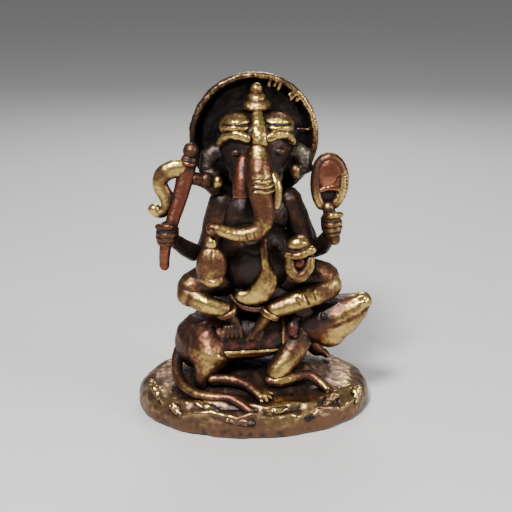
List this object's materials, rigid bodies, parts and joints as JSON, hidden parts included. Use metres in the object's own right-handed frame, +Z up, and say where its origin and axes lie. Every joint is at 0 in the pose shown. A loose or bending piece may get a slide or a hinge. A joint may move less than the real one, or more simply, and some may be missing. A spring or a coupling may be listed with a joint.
{
  "type": "hindu deity statue",
  "caption": "Small cast brass figure of a seated elephant-headed deity with a round halo, holding a goad and a noose, riding a rat on a pebble-shaped base",
  "frame": {"origin": "middle of the base's flat underside, on the surface it stands on", "axes": "+Z up through the crown and halo, -Y towards the figure's front, +X towards the figure's own left, where the rat's nose points"},
  "size_m": [0.06, 0.0451, 0.085],
  "materials": {
    "base_brass": "cast, toned brown with rubbed gold ridges",
    "rat_brass": "cast, rubbed gold over red-brown toning",
    "cloth_brass": "cast, dark brown toning",
    "body_brass": "cast, dark toning, rubbed on the knees",
    "worn_brass": "cast, rubbed bright by handling",
    "copper_brass": "cast, copper-red toning",
    "head_brass": "cast, hammered look, rubbed gold on the high parts",
    "halo_brass": "cast, nearly black toning with a brown rim"
  },
  "bodies": {
    "root": {"base_mound": "base_brass", "front_rockwork": "base_brass", "rat_body": "rat_brass", "rat_head": "rat_brass", "rat_ears": "rat_brass", "rat_eyes": "rat_brass", "rat_near_hind_leg": "rat_brass", "rat_near_hind_paw": "rat_brass", "rat_far_hind_leg": "rat_brass", "rat_far_hind_paw": "rat_brass", "rat_near_upper_foreleg": "rat_brass", "rat_near_forearm": "rat_brass", "rat_far_foreleg": "rat_brass", "rat_tail": "rat_brass", "rat_collar": "cloth_brass", "collar_knot": "cloth_brass", "saddle_cloth": "cloth_brass", "saddle_hem": "cloth_brass", "seat_wrap": "cloth_brass", "belly": "body_brass", "chest": "body_brass", "right_thigh": "body_brass", "left_thigh": "body_brass", "right_shin": "body_brass", "left_shin": "body_brass", "right_foot": "body_brass", "left_foot": "body_brass", "anklets": "worn_brass", "waist_sash": "worn_brass", "waist_cord": "cloth_brass", "halo_rim": "halo_brass", "halo_disc": "halo_brass", "head": "head_brass", "trunk": "head_brass", "left_tusk": "worn_brass", "right_tusk": "copper_brass", "right_ear": "head_brass", "left_ear": "head_brass", "earrings": "worn_brass", "brows": "worn_brass", "eyes": "head_brass", "forehead_mark": "worn_brass", "crown": "head_brass", "front_right_arm": "body_brass", "front_left_arm": "body_brass", "goad_shaft": "copper_brass", "goad_knob": "worn_brass", "goad_hook": "worn_brass", "goad_strut": "worn_brass", "noose_handle": "worn_brass", "noose_loop": "worn_brass", "noose_web": "copper_brass", "back_right_fist": "worn_brass", "back_left_fist": "worn_brass", "back_right_arm": "body_brass", "back_left_arm": "body_brass", "front_right_hand": "worn_brass", "held_tusk_tip": "worn_brass", "front_left_hand": "worn_brass", "sweet": "copper_brass"}
  },
  "joints": []
}
